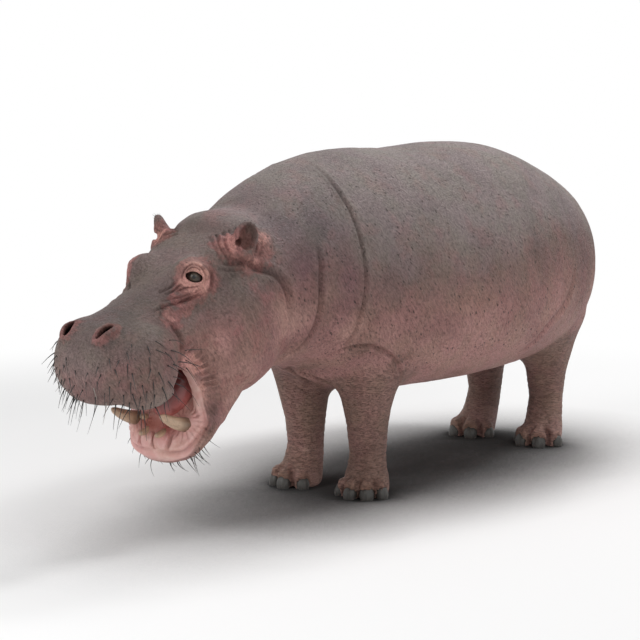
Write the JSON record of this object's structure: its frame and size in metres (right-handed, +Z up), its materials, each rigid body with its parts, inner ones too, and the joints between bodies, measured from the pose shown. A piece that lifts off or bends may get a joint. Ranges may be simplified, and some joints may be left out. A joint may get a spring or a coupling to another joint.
{
  "type": "hippopotamus",
  "caption": "Life-size still model of an adult hippopotamus standing on all fours with its mouth open.",
  "frame": {"origin": "on the floor, under the middle of the animal's length and width", "axes": "+Z up, the animal faces -Y, its left side is +X"},
  "size_m": [1.11, 3.539, 1.5156],
  "materials": {
    "hide_back": "bare wrinkled hide with fine pores, grey-brown, slightly moist",
    "hide_belly": "bare wrinkled hide, pinkish brown",
    "hide_pink": "thin pink hide, finely wrinkled",
    "tongue": "wet flesh",
    "tooth": "worn ivory, browner at the root",
    "nail": "dull horn",
    "eye": "wet, glossy"
  },
  "bodies": {
    "root": {"head": "hide_back", "neck": "hide_back", "trunk": "hide_back", "tail": "hide_back", "foreleg_left": "hide_belly", "foreleg_right": "hide_belly", "hindleg_left": "hide_belly", "hindleg_right": "hide_belly", "lower_jaw": "hide_pink", "ear_left": "hide_pink", "ear_right": "hide_pink", "tongue": "tongue", "tusk_left": "tooth", "tusk_right": "tooth", "incisor_centre_left": "tooth", "incisor_centre_right": "tooth", "incisor_side_left": "tooth", "incisor_side_right": "tooth", "upper_canine_left": "tooth", "upper_canine_right": "tooth", "upper_incisor_left": "tooth", "upper_incisor_right": "tooth", "nail_fore_left_1": "nail", "nail_fore_left_2": "nail", "nail_fore_left_3": "nail", "nail_fore_left_4": "nail", "nail_fore_right_1": "nail", "nail_fore_right_2": "nail", "nail_fore_right_3": "nail", "nail_fore_right_4": "nail", "nail_hind_left_1": "nail", "nail_hind_left_2": "nail", "nail_hind_left_3": "nail", "nail_hind_left_4": "nail", "nail_hind_right_1": "nail", "nail_hind_right_2": "nail", "nail_hind_right_3": "nail", "nail_hind_right_4": "nail", "eye_left": "eye", "eye_right": "eye"}
  },
  "joints": []
}
